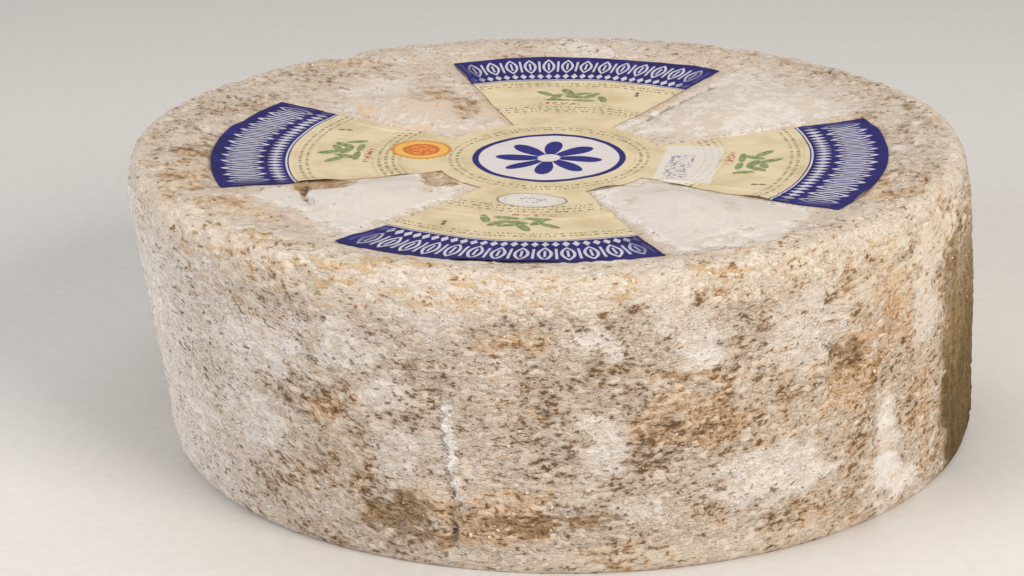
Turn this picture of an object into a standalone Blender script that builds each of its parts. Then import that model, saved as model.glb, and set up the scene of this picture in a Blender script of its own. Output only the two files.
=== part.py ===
"""A whole wheel of aged mountain cheese with a four-armed paper label pressed into its top.

The wheel is a turned drum that has settled: it leans a little, it tapers to its base, its top is
dished, and the rind stands up in soft pillows between the arms of the label. The label is a thin
sheet that lies on the top. Metres, +Z up, the origin under the middle of the wheel.
"""
import math

import bmesh
import bpy
from mathutils import Vector, noise

# The wheel
WHEEL_RADIUS = 0.125
WHEEL_HEIGHT = 0.086
BASE_RADIUS = 0.1223
LEAN = 0.0069  # how far the base stands to +X of the top
TOP_ROUND_ACROSS = 0.0055
TOP_ROUND_DOWN = 0.0100
BASE_ROUND_ACROSS = 0.0028
BASE_ROUND_UP = 0.0150
SPOKES = 96
ROUND_STEPS = 5
WALL_STEPS = 10

# The label, a disc with four sectors cut out of it
LABEL_CENTRE = (0.0010, -0.0073)
LABEL_RADIUS = 0.0994
BAND_INNER_RADIUS = 0.0767
HUB_RADIUS = 0.0335
LABEL_TURN = -8.7  # degrees
ARM_SPOKES = 14  # of the 24 spokes in a quarter turn
ARM_TURNS = (-2.5, 0.8, 3.0, 0.1)  # degrees that each arm was skewed by, from the +X arm round
LABEL_THICKNESS = 0.0004
LABEL_GAP = 0.0003

# The rings of vertices across the top, shared by the wheel and its label
HUB_RINGS = 3
ARM_RINGS = 5
BAND_RINGS = 3
MARGIN_RINGS = 2

# The dish of the top, as heights over the rim
DISH_DEPTH = 0.0047
DISH_RISE_SIDES = 0.0055
DISH_RISE_ENDS = 0.0029
DISH_CURL_ENDS = 0.0035  # the steeper rise close to the front and back of the rim
DISH_TILT = 0.0035  # how much more the front of the dish is sunk than its back
DISH_TWIST = 0.0030  # how much less the sides rise at the back than at the front
FRONT_RIM_DROP = 0.0025
RIM_WAVE = 0.0006
DISH_EDGE_RADIUS = 0.1040  # where the dish starts to give way to the rim

# The rind that stands up in the gaps between the arms, gap by gap from the one after the +X arm:
# height, radius of its middle from the label's centre, half its length along that radius
PILLOWS = (
    (0.0026, 0.072, 0.038),
    (0.0022, 0.060, 0.032),
    (0.0030, 0.063, 0.030),
    (0.0038, 0.068, 0.036),
)
PILLOW_EDGE = 6.0  # degrees over which a pillow rises from the edge of an arm

# The unevenness of the wall
SWELL_HEIGHT = 0.0011
SWELL_SIZE = 0.055
LUMP_HEIGHT = 0.0005
LUMP_SIZE = 0.022
# Hollows in the wall: angle in degrees, height, depth, half width round the wall, half height
HOLLOWS = (
    (-52.0, 0.052, 0.0022, 0.009, 0.012),
    (-111.0, 0.014, 0.0018, 0.012, 0.012),
    (-94.0, 0.066, 0.0010, 0.010, 0.010),
    (118.0, 0.040, 0.0018, 0.014, 0.012),
    (38.0, 0.058, 0.0015, 0.012, 0.010),
)
# Notches in the rim: angle in degrees, depth, half width
RIM_NOTCHES = (
    (124.0, 0.0020, 0.008),
    (-158.0, 0.0010, 0.010),
)


def smooth(value):
    """0 below 0, 1 above 1, with a soft start and end between."""
    t = min(max(value, 0.0), 1.0)
    return t * t * (3.0 - 2.0 * t)


def bell(distance):
    """1 at 0, falling softly to 0 at 1 and beyond."""
    return 1.0 - smooth(abs(distance))


def turned(degrees_value):
    """An angle in degrees brought between -180 and 180."""
    return (degrees_value + 180.0) % 360.0 - 180.0


def spoke_angle(nominal):
    """The angle in degrees of a spoke of the wheel and label, given its angle from the label's turn.

    The arms are skewed each by its own turn, and the gaps between them take up the difference.
    """
    quarter = (nominal / 90.0) % 4.0
    here = int(quarter + 0.5) % 4
    offset = (quarter - here + 2.0) % 4.0 - 2.0
    half_arm = ARM_SPOKES / 48.0
    across = smooth((abs(offset) - half_arm) / (1.0 - 2.0 * half_arm))
    beyond = (here + (1 if offset > 0 else -1)) % 4
    skew = ARM_TURNS[here] * (1.0 - across) + ARM_TURNS[beyond] * across
    return nominal + LABEL_TURN + skew


def gap_share(nominal):
    """0 on an arm, and 1 in the middle of the gap between two arms, with the gap's number."""
    quarter = (nominal / 90.0) % 4.0
    gap = int(quarter) % 4
    inside = 45.0 - ARM_SPOKES * 90.0 / 48.0 - abs((quarter - int(quarter) - 0.5) * 90.0)
    return smooth(inside / PILLOW_EDGE), gap


def dish(x, y):
    """The height of the top's dish over the rim."""
    u, v = x / WHEEL_RADIUS, y / WHEEL_RADIUS
    sides = (DISH_RISE_SIDES - DISH_TWIST * v) * u * u
    ends = DISH_RISE_ENDS * v ** 2 + DISH_CURL_ENDS * v ** 4
    sunk = sides + ends + DISH_TILT * v - DISH_DEPTH
    rim = RIM_WAVE * noise.noise(Vector((u, v, 0.0)) * 2.2) - FRONT_RIM_DROP * smooth(-v)
    margin = WHEEL_RADIUS - TOP_ROUND_ACROSS - DISH_EDGE_RADIUS
    return sunk + (rim - sunk) * smooth((math.hypot(x, y) - DISH_EDGE_RADIUS) / margin)


def pillow(nominal, radius):
    """How far the rind stands up between the arms, at an angle and radius from the label's centre."""
    share, gap = gap_share(nominal)
    height, middle, reach = PILLOWS[gap]
    along = (radius - middle) / reach
    uneven = 1.0 + 0.35 * noise.noise(Vector((nominal / 14.0, radius / 0.016, gap)))
    return height * share * bell(along) * uneven


def wall_swell(angle, z):
    """How far the wall stands out at an angle in degrees and a height."""
    a = math.radians(angle)
    place = Vector((math.cos(a), math.sin(a), 0.0)) * WHEEL_RADIUS + Vector((0.0, 0.0, z))
    out = SWELL_HEIGHT * noise.noise(place / SWELL_SIZE) + LUMP_HEIGHT * noise.noise(place / LUMP_SIZE)
    for at, height, depth, half_width, half_height in HOLLOWS:
        across = math.radians(turned(angle - at)) * WHEEL_RADIUS / half_width
        out -= depth * bell(math.hypot(across, (z - height) / half_height))
    return out


def rim_notch(angle):
    out = 0.0
    for at, depth, half_width in RIM_NOTCHES:
        out += depth * bell(math.radians(turned(angle - at)) * WHEEL_RADIUS / half_width)
    return out


def settled(point):
    """Where a point of the turned drum lies on the settled wheel."""
    radius, z = math.hypot(point.x, point.y), point.z
    nominal = math.degrees(math.atan2(point.y, point.x))
    angle = spoke_angle(nominal)
    a = math.radians(angle)
    on_top = smooth((z / WHEEL_HEIGHT - 0.5) / 0.45)
    flat_edge = WHEEL_RADIUS - TOP_ROUND_ACROSS
    to_label = on_top * (1.0 - smooth((radius - LABEL_RADIUS) / (flat_edge - LABEL_RADIUS)))
    x = radius * math.cos(a) + LABEL_CENTRE[0] * to_label
    y = radius * math.sin(a) + LABEL_CENTRE[1] * to_label
    at_wall = smooth((radius - flat_edge + 0.004) / 0.008) * smooth(z / BASE_ROUND_UP)
    out = (wall_swell(angle, z) - rim_notch(angle) * on_top) * at_wall
    x += out * math.cos(a)
    y += out * math.sin(a)
    height = z + on_top * (dish(x, y) - rim_notch(angle) * at_wall)
    height += to_label * pillow(nominal, radius)
    lean = LEAN * (0.5 - z / WHEEL_HEIGHT) + (WHEEL_RADIUS - BASE_RADIUS) / 2.0
    return Vector((x + lean, y, height))


def label_rings():
    """The radii from the label's centre at which the label and the wheel's top have vertices."""
    steps = [HUB_RADIUS * i / HUB_RINGS for i in range(HUB_RINGS)]
    steps += [HUB_RADIUS + (BAND_INNER_RADIUS - HUB_RADIUS) * i / ARM_RINGS for i in range(ARM_RINGS)]
    band = LABEL_RADIUS - BAND_INNER_RADIUS
    steps += [BAND_INNER_RADIUS + band * i / BAND_RINGS for i in range(BAND_RINGS + 1)]
    return steps


def quarter_round(x, z, across, up, start):
    """Points of a quarter ellipse round (x, z), from the angle start in degrees, a quarter turn down."""
    turns = [math.radians(start - 90.0 * i / ROUND_STEPS) for i in range(ROUND_STEPS + 1)]
    return [(x + across * math.cos(t), z + up * math.sin(t)) for t in turns]


def wheel_profile():
    """The drum's outline from the middle of its top, down its outer side, to the middle of its base."""
    rings = label_rings()
    flat_edge = WHEEL_RADIUS - TOP_ROUND_ACROSS
    margin = (flat_edge - LABEL_RADIUS) / (MARGIN_RINGS + 1)
    rings += [LABEL_RADIUS + margin * (i + 1) for i in range(MARGIN_RINGS)]
    points = [(r, WHEEL_HEIGHT) for r in rings]
    points += quarter_round(
        flat_edge, WHEEL_HEIGHT - TOP_ROUND_DOWN, TOP_ROUND_ACROSS, TOP_ROUND_DOWN, 90.0
    )
    high, low = WHEEL_HEIGHT - TOP_ROUND_DOWN, BASE_ROUND_UP
    for i in range(1, WALL_STEPS):
        t = i / WALL_STEPS
        points.append((WHEEL_RADIUS + (BASE_RADIUS - WHEEL_RADIUS) * t, high + (low - high) * t))
    foot = BASE_RADIUS - BASE_ROUND_ACROSS
    points += quarter_round(foot, BASE_ROUND_UP, BASE_ROUND_ACROSS, BASE_ROUND_UP, 0.0)
    points += [(foot * 2.0 / 3.0, 0.0), (foot / 3.0, 0.0), (0.0, 0.0)]
    return points


def material(name, colour, roughness):
    finish = bpy.data.materials.new(name)
    finish.use_nodes = True
    shader = finish.node_tree.nodes["Principled BSDF"]
    shader.inputs["Base Color"].default_value = (*colour, 1.0)
    shader.inputs["Roughness"].default_value = roughness
    shader.inputs["Metallic"].default_value = 0.0
    return finish


def placed(name, mesh, finish, collection):
    mesh.name = name
    mesh.materials.clear()
    mesh.materials.append(finish)
    mesh.shade_smooth()
    thing = bpy.data.objects.new(name, mesh)
    collection.objects.link(thing)
    return thing


def turned_drum():
    """The drum before it settled, as a mesh turned from its profile."""
    mesh = bpy.data.meshes.new("drum_profile")
    points = wheel_profile()
    mesh.from_pydata([(r, 0.0, z) for r, z in points], [(i, i + 1) for i in range(len(points) - 1)], [])
    guide = bpy.data.objects.new("drum_profile", mesh)
    bpy.context.scene.collection.objects.link(guide)
    screw = guide.modifiers.new("turn", "SCREW")
    screw.steps = SPOKES
    screw.render_steps = SPOKES
    screw.use_merge_vertices = True
    screw.merge_threshold = 0.00005
    bpy.context.view_layer.update()
    drum = bpy.data.meshes.new_from_object(guide.evaluated_get(bpy.context.evaluated_depsgraph_get()))
    bpy.data.objects.remove(guide)
    return drum


def make_wheel(collection):
    drum = turned_drum()
    for vertex in drum.vertices:
        vertex.co = settled(vertex.co)
    rind = material("natural_rind", (0.55, 0.46, 0.36), 0.85)
    return placed("cheese_wheel", drum, rind, collection)


def flat_label():
    """The label's outline as a flat sheet: the hub's sectors and the four arms, spun from a radius."""
    sheet = bmesh.new()
    rings = label_rings()
    step = math.radians(360.0 / SPOKES)
    for quarter in range(4):
        centre = quarter * SPOKES // 4
        arm = (centre - ARM_SPOKES // 2, ARM_SPOKES, rings)
        gap = (centre + ARM_SPOKES // 2, SPOKES // 4 - ARM_SPOKES, rings[: HUB_RINGS + 1])
        for start, count, radii in (arm, gap):
            turn = step * start
            made = [sheet.verts.new((r * math.cos(turn), r * math.sin(turn), WHEEL_HEIGHT)) for r in radii]
            made += [sheet.edges.new(pair) for pair in zip(made, made[1:])]
            bmesh.ops.spin(
                sheet, geom=made, cent=(0.0, 0.0, WHEEL_HEIGHT), axis=(0.0, 0.0, 1.0), steps=count,
                angle=step * count, use_duplicate=False,
            )
    bmesh.ops.remove_doubles(sheet, verts=sheet.verts, dist=0.00005)
    bmesh.ops.dissolve_degenerate(sheet, edges=sheet.edges, dist=0.00005)
    bmesh.ops.recalc_face_normals(sheet, faces=sheet.faces)
    if sum(face.normal.z for face in sheet.faces) < 0.0:
        bmesh.ops.reverse_faces(sheet, faces=sheet.faces)
    return sheet


def make_label(collection):
    sheet = flat_label()
    for vertex in sheet.verts:
        vertex.co = settled(vertex.co) + Vector((0.0, 0.0, LABEL_GAP))
    mesh = bpy.data.meshes.new("paper_label")
    sheet.to_mesh(mesh)
    sheet.free()
    paper = material("coated_label_paper", (0.77, 0.69, 0.48), 0.55)
    label = placed("paper_label", mesh, paper, collection)
    thick = label.modifiers.new("thickness", "SOLIDIFY")
    thick.thickness = LABEL_THICKNESS
    thick.offset = 1.0
    return label


def main():
    for old in list(bpy.data.objects):
        bpy.data.objects.remove(old)
    cheese = bpy.data.collections.new("castelmagno_cheese")
    bpy.context.scene.collection.children.link(cheese)
    make_wheel(cheese)
    make_label(cheese)


main()
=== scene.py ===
"""The looks of a whole castelmagno cheese: its mouldy natural rind and the paper label on its top.

The rind is one closed mesh, laid over the settled drum with its flakes, pits and cracks as relief.
Dry crumbs lie on it, and the printed label is a thin sheet pressed into its top.
"""
import math

import bpy
from mathutils import Matrix, Vector, noise


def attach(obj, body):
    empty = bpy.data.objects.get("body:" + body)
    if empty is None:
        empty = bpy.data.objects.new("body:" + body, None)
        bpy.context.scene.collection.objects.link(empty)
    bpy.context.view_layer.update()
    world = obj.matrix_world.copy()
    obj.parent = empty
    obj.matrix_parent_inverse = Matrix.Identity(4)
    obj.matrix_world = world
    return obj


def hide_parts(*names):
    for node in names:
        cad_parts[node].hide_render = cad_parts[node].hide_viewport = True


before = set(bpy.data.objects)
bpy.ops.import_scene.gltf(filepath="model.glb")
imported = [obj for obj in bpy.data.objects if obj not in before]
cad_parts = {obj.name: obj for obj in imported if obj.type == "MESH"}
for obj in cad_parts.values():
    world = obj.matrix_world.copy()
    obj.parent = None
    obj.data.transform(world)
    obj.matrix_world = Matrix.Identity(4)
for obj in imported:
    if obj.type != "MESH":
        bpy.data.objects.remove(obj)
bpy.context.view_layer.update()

# ------------------------------------------------------------------ the form that the solids have
WHEEL_RADIUS = 0.125
WHEEL_HEIGHT = 0.086
BASE_RADIUS = 0.1223
LEAN = 0.0069
TOP_ROUND_ACROSS = 0.0055
TOP_ROUND_DOWN = 0.0100
BASE_ROUND_ACROSS = 0.0028
BASE_ROUND_UP = 0.0150
FLAT_EDGE = WHEEL_RADIUS - TOP_ROUND_ACROSS

LABEL_CENTRE = (0.0010, -0.0073)
LABEL_RADIUS = 0.0994
BAND_INNER_RADIUS = 0.0767
HUB_RADIUS = 0.0335
LABEL_TURN = -8.7  # degrees
HALF_ARM = 26.25  # degrees
ARM_TURNS = (-2.5, 0.8, 3.0, 0.1)

DISH_DEPTH = 0.0047
DISH_RISE_SIDES = 0.0055
DISH_RISE_ENDS = 0.0029
DISH_CURL_ENDS = 0.0035
DISH_TILT = 0.0035
DISH_TWIST = 0.0030
FRONT_RIM_DROP = 0.0025
RIM_WAVE = 0.0006
DISH_EDGE_RADIUS = 0.1040
PILLOWS = (
    (0.0026, 0.072, 0.038),
    (0.0022, 0.060, 0.032),
    (0.0027, 0.063, 0.030),
    (0.0036, 0.068, 0.036),
)
PILLOW_EDGE = 17.0

SWELL_HEIGHT = 0.0011
SWELL_SIZE = 0.055
LUMP_HEIGHT = 0.0005
LUMP_SIZE = 0.022
HOLLOWS = (
    (-52.0, 0.052, 0.0022, 0.009, 0.012),
    (-111.0, 0.014, 0.0018, 0.012, 0.012),
    (-94.0, 0.066, 0.0010, 0.010, 0.010),
    (118.0, 0.040, 0.0018, 0.014, 0.012),
    (38.0, 0.058, 0.0015, 0.012, 0.010),
)
RIM_NOTCHES = (
    (124.0, 0.0020, 0.008),
    (-158.0, 0.0010, 0.010),
)

# ------------------------------------------------------------------ the fine surface of the rind
SPOKES = 636
RING_GAP = 0.0012  # between rings of vertices
COVERED_RINGS = (0.008, 0.016, 0.024, 0.0305)  # wide rings, where the paper hides the rind
GRAIN_SQUASH = 1.9  # flecks and flakes are this much longer than tall
GRAIN_CLIMB = 1.8  # per metre: how fast the grain steepens away from the front and the back
RIND_SINK = 0.00002  # how far the rind lies under the draped surface, below the paper
RIND_STAND = 0.00055  # and how far it stands over it beside the paper
STAND_EDGE = 0.0028
CUSHION_EDGE = 5.0  # degrees over which a white cushion fades out beside an arm
CUSHION_WHITE = (0.30, 0.25, 0.90, 1.0)  # how white the mould is in each gap between arms
RIM_FROM_HEIGHT = 0.0715  # where the creamy rim starts on the wall, and on the top
RIM_FROM_RADIUS = 0.106
WORN_FROM_RADIUS = 0.090  # a ring of the top that is worn by handling
WORN_TO_RADIUS = 0.1165
# Fields kept on the rind's vertices: shares from 0 to 1, but crack_side is a distance in metres. Besides
# stains they carry painted shade: in pits and between flakes, beside the paper's edge, and in the strip on
# the right of the wall.
KEPT_FIELDS = (
    "tan", "rust", "pale", "soil", "hollow_shade", "rim", "brown_and_shade_strip", "calm", "paper_edge_brown_and_shade",
    "crack_side", "crack_near", "ridge",
)
STAIN_EDGE = 0.75  # how soft the edge of a stain is, as a share of its size

# Relief of the rind: how wide its lumps, flakes, grit and pits are, and how high or deep
SOFT_LUMP_SIZE = 0.011
SOFT_LUMP_HEIGHT = 0.00034
FLAKE_SIZE = 0.0052
FLAKE_HEIGHT = 0.00050
TAN_FLAKE_HEIGHT = 0.00042  # more of it where the crust is tan
RIM_FLAKE_HEIGHT = 0.00030
RIM_GRAIN_SIZE = 0.0042
RIM_GRAIN_HEIGHT = 0.00030
GRIT_SIZE = 0.0021
GRIT_HEIGHT = 0.00030
PIT_SIZE = 0.0030
PIT_DEPTH = 0.00075

# How wide the noises are that make the edges of stains ragged and spread tan, pits and rust unevenly
RAGGED_SIZE = 0.009
BROAD_SIZE = 0.034
PITTED_SIZE = 0.021
RUST_STREAK_SIZE = 0.0085

# Stains on the wall: angle in degrees, height, half width, half height, strength
TAN_STAINS = (
    (-74.0, 0.045, 0.017, 0.014, 1.0),
    (-53.0, 0.049, 0.014, 0.014, 0.9),
    (-62.0, 0.056, 0.010, 0.010, 0.5),
    (-35.0, 0.030, 0.009, 0.022, 0.8),
    (-43.0, 0.062, 0.011, 0.017, 0.9),
    (-95.0, 0.070, 0.011, 0.006, 0.8),
    (-121.0, 0.042, 0.009, 0.007, 0.8),
    (-128.0, 0.015, 0.007, 0.005, 0.6),
    (-153.0, 0.038, 0.008, 0.010, 0.6),
    (-132.0, 0.070, 0.005, 0.003, 0.6),
    (-98.0, 0.050, 0.010, 0.006, 0.4),
    (-59.0, 0.011, 0.009, 0.005, 0.6),
    (-104.0, 0.017, 0.027, 0.011, 1.0),
    (-64.0, 0.036, 0.010, 0.008, 0.6),
    (30.0, 0.040, 0.026, 0.018, 0.8),
    (75.0, 0.058, 0.020, 0.012, 0.9),
    (112.0, 0.026, 0.024, 0.014, 0.8),
    (158.0, 0.050, 0.020, 0.016, 0.8),
)
RUST_STAINS = (
    (-42.5, 0.066, 0.009, 0.013, 1.0),
    (-50.0, 0.046, 0.010, 0.012, 0.5),
    (-47.0, 0.060, 0.006, 0.006, 0.6),
    (52.0, 0.062, 0.008, 0.010, 0.8),
    (140.0, 0.036, 0.012, 0.010, 0.6),
)
SOIL_STAINS = (
    (-111.0, 0.014, 0.014, 0.010, 1.0),
    (-95.5, 0.0155, 0.020, 0.0034, 0.9),
    (-76.0, 0.045, 0.017, 0.014, 0.4),
    (-107.7, 0.058, 0.0025, 0.0040, 0.9),
    (-52.0, 0.0525, 0.007, 0.005, 0.85),
    (-85.5, 0.0640, 0.003, 0.004, 0.7),
    (-62.0, 0.012, 0.006, 0.004, 0.5),
    (132.0, 0.016, 0.016, 0.006, 0.8),
    (18.0, 0.060, 0.006, 0.010, 0.6),
)
PALE_PATCHES = (
    (-42.5, 0.010, 0.011, 0.012, 1.0),
    (-44.5, 0.027, 0.005, 0.011, 0.8),
    (-35.0, 0.056, 0.007, 0.018, 0.7),
    (-72.0, 0.0625, 0.008, 0.005, 0.9),
    (-84.5, 0.069, 0.009, 0.006, 0.7),
    (-85.0, 0.039, 0.007, 0.009, 0.6),
    (-64.0, 0.024, 0.022, 0.010, 0.7),
    (-80.0, 0.017, 0.010, 0.006, 0.4),
    (-116.0, 0.062, 0.015, 0.010, 0.5),
    (-111.0, 0.032, 0.008, 0.012, 0.45),
    (-111.5, 0.050, 0.010, 0.007, 0.55),
    (-130.0, 0.058, 0.024, 0.014, 0.6),
    (-134.0, 0.032, 0.018, 0.014, 0.5),
    (12.0, 0.016, 0.016, 0.012, 0.8),
    (60.0, 0.028, 0.020, 0.012, 0.8),
    (95.0, 0.046, 0.014, 0.012, 0.7),
    (172.0, 0.024, 0.018, 0.012, 0.8),
)
# Cream on the wall. The first three rows, beside the brown strip on the right, are partly cream mould and
# partly painted light that keeps that side bright where the light falls off.
CREAM_AND_LIT_PATCHES = (
    (-32.0, 0.076, 0.022, 0.008, 1.0),
    (-34.0, 0.060, 0.008, 0.014, 0.8),
    (-40.0, 0.070, 0.008, 0.010, 0.7),
    (-50.0, 0.072, 0.014, 0.006, 0.7),
    (-80.0, 0.004, 0.070, 0.004, 0.6),
    (84.0, 0.066, 0.030, 0.010, 0.6),
)
# Stains on the top, by x and y from the middle of the top: x, y, half width, half depth, strength
TOP_TAN = (
    (-0.085, -0.062, 0.018, 0.018, 0.9),
    (0.092, -0.044, 0.008, 0.024, 0.8),
    (-0.032, 0.040, 0.026, 0.028, 0.95),
    (-0.068, 0.088, 0.014, 0.010, 0.7),
    (0.035, 0.040, 0.016, 0.008, 0.8),
    (-0.030, -0.032, 0.010, 0.014, 0.9),
    (-0.056, -0.029, 0.018, 0.006, 1.0),
    (-0.103, -0.030, 0.010, 0.026, 0.75),
    (0.070, 0.082, 0.020, 0.014, 0.5),
)
TOP_RUST = (
    (0.048, -0.112, 0.012, 0.005, 0.8),
    (-0.045, -0.108, 0.016, 0.006, 0.8),
    (-0.036, 0.048, 0.005, 0.005, 0.7),
    (-0.012, 0.050, 0.004, 0.006, 0.7),
)

# Cracks in the wall: depth, strength, then points as angle in degrees and height
CRACKS = (
    (0.0008, 0.45, ((-104.3, 0.056), (-104.7, 0.042), (-104.4, 0.025))),
    (0.0018, 1.0, ((-104.4, 0.0245), (-104.0, 0.0225), (-104.9, 0.0175), (-104.4, 0.012), (-105.0, 0.008))),
    (0.0010, 0.75, ((-55.5, 0.0590), (-53.3, 0.0545), (-51.4, 0.0505), (-49.6, 0.0500))),
    (0.0008, 0.60, ((-53.5, 0.0540), (-55.0, 0.0490), (-54.0, 0.0440))),
    (0.0010, 0.6, ((-47.8, 0.037), (-47.0, 0.030), (-46.4, 0.020))),
    (0.0008, 0.6, ((-78.5, 0.031), (-76.0, 0.033), (-73.0, 0.040), (-70.0, 0.041))),
    (0.0008, 0.5, ((-78.0, 0.058), (-76.0, 0.055), (-74.5, 0.0555), (-72.0, 0.053))),
    (0.0008, 0.5, ((-112.0, 0.020), (-111.0, 0.014), (-113.0, 0.010))),
    (0.0012, 0.8, ((66.0, 0.064), (68.5, 0.050), (67.0, 0.038), (70.0, 0.026))),
    (0.0010, 0.8, ((150.0, 0.040), (147.0, 0.030), (148.5, 0.018))),
)
# The crack with a pale raised lip: its angle, and the heights between which the lip runs
RIDGE_ANGLE = -104.5
RIDGE_FROM = 0.020
RIDGE_TO = 0.052
RIDGE_HEIGHT = 0.0006
# Cracks in the top: depth, strength, then points as x and y from the middle of the top
TOP_CRACKS = (
    (0.0020, 1.0, ((-0.0655, -0.029), (-0.0675, -0.036), (-0.0670, -0.047), (-0.0640, -0.056))),
    (0.0010, 0.7, ((-0.064, 0.098), (-0.056, 0.090), (-0.050, 0.086))),
    (0.0008, 0.6, ((0.056, 0.058), (0.040, 0.038), (0.030, 0.024))),
    (0.0008, 0.6, ((-0.030, 0.060), (-0.022, 0.050), (-0.024, 0.030))),
)
CRACK_REACH = 0.0026  # how far from a crack its fields are kept
CRACK_HALF_WIDTH = 0.0022
BARE_DEPTH = 0.0008  # a hollow this deep has lost all its mould
# Sunken, browner places in the top: x, y, half width, half depth, how deep
TOP_HOLLOWS = (
    (-0.0630, -0.0342, 0.0085, 0.0078, 0.0008),
    (-0.0300, -0.0250, 0.0048, 0.0125, 0.0007),
    (-0.0240, 0.0420, 0.0040, 0.0140, 0.0005),
    (-0.0340, 0.0570, 0.0080, 0.0120, 0.0005),
)

# The brown streaked strip on the right of the wall, partly a brown stain and partly painted shade on the
# side that turns away from the light: angles in degrees, and heights
STRIP_START = -31.5
STRIP_START_EDGE = 5.5  # over how many degrees it comes in
STRIP_WIDENING = 3.0  # how many degrees further it reaches at its widest
STRIP_WIDEST = 0.023
STRIP_WIDE_REACH = 0.011
STRIP_END = -8.0
STRIP_END_EDGE = 28.0
STRIP_TOP = 0.062

# ------------------------------------------------------------------ the paper label
ARM_STEPS = 84  # across an arm
GAP_STEPS = 60  # across a gap, at the hub
PAPER_RING_GAP = 0.0011
PAPER_THICKNESS = 0.00016
PAPER_LIFT = 0.00030  # of its upper face over the draped surface
EDGE_WAVE = 0.0005
EDGE_WAVE_LENGTH = 0.011
EDGE_CURL = 0.0007  # how far the paper's edge stands up where it has come loose
EDGE_CURL_REACH = 0.005
EDGE_CURL_SIZE = 0.018
PAPER_SWELL = 0.00030
PAPER_SWELL_SIZE = 0.015
PAPER_COCKLE = 0.00012
PAPER_COCKLE_SIZE = 0.0042
# Creases: height, half width, then points as x and y in the flat label
CREASES = (
    (0.0004, 0.0012, ((-0.036, -0.049), (-0.010, -0.056), (0.014, -0.055), (0.033, -0.047))),
    (0.0003, 0.0010, ((0.030, -0.016), (0.052, -0.021), (0.074, -0.030))),
    (0.0003, 0.0010, ((-0.034, 0.020), (-0.052, 0.022), (-0.066, 0.030))),
    (0.0003, 0.0012, ((0.016, 0.030), (0.024, 0.046), (0.038, 0.066))),
    (-0.0003, 0.0012, ((-0.022, -0.026), (-0.030, -0.040), (-0.030, -0.060))),
)


def smooth(value):
    """0 below 0, 1 above 1, with a soft start and end between."""
    t = min(max(value, 0.0), 1.0)
    return t * t * (3.0 - 2.0 * t)


def bell(distance):
    """1 at 0, falling softly to 0 at 1 and beyond."""
    return 1.0 - smooth(abs(distance))


def turned(degrees_value):
    """An angle in degrees brought between -180 and 180."""
    return (degrees_value + 180.0) % 360.0 - 180.0


def spoke_angle(nominal):
    """The angle in degrees of a spoke of the wheel and label, given its angle from the label's turn."""
    quarter = (nominal / 90.0) % 4.0
    here = int(quarter + 0.5) % 4
    offset = (quarter - here + 2.0) % 4.0 - 2.0
    across = smooth((abs(offset) - HALF_ARM / 90.0) / (1.0 - 2.0 * HALF_ARM / 90.0))
    beyond = (here + (1 if offset > 0 else -1)) % 4
    skew = ARM_TURNS[here] * (1.0 - across) + ARM_TURNS[beyond] * across
    return nominal + LABEL_TURN + skew


def gap_share(nominal, edge=PILLOW_EDGE):
    """0 on an arm, and 1 in the middle of the gap between two arms, with the gap's number."""
    quarter = (nominal / 90.0) % 4.0
    gap = int(quarter) % 4
    inside = 45.0 - HALF_ARM - abs((quarter - int(quarter) - 0.5) * 90.0)
    return smooth(inside / edge), gap


def dish(x, y):
    """The height of the top's dish over the rim."""
    u, v = x / WHEEL_RADIUS, y / WHEEL_RADIUS
    sides = (DISH_RISE_SIDES - DISH_TWIST * v) * u * u
    ends = DISH_RISE_ENDS * v ** 2 + DISH_CURL_ENDS * v ** 4
    sunk = sides + ends + DISH_TILT * v - DISH_DEPTH
    rim = RIM_WAVE * noise.noise(Vector((u, v, 0.0)) * 2.2) - FRONT_RIM_DROP * smooth(-v)
    to_rim = smooth((math.hypot(x, y) - DISH_EDGE_RADIUS) / (FLAT_EDGE - DISH_EDGE_RADIUS))
    return sunk + (rim - sunk) * to_rim


def pillow(nominal, radius):
    """How far the rind stands up between the arms, at an angle and radius from the label's centre."""
    share, gap = gap_share(nominal)
    height, middle, reach = PILLOWS[gap]
    uneven = 1.0 + 0.35 * noise.noise(Vector((nominal / 14.0, radius / 0.016, gap)))
    return height * share * bell((radius - middle) / reach) * uneven


def wall_swell(angle, z):
    """How far the wall stands out at an angle in degrees and a height."""
    a = math.radians(angle)
    place = Vector((math.cos(a), math.sin(a), 0.0)) * WHEEL_RADIUS + Vector((0.0, 0.0, z))
    out = SWELL_HEIGHT * noise.noise(place / SWELL_SIZE) + LUMP_HEIGHT * noise.noise(place / LUMP_SIZE)
    for at, height, depth, half_width, half_height in HOLLOWS:
        across = math.radians(turned(angle - at)) * WHEEL_RADIUS / half_width
        out -= depth * bell(math.hypot(across, (z - height) / half_height))
    return out


def rim_notch(angle):
    """How far the rim is pressed in at an angle in degrees."""
    out = 0.0
    for at, depth, half_width in RIM_NOTCHES:
        out += depth * bell(math.radians(turned(angle - at)) * WHEEL_RADIUS / half_width)
    return out


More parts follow.
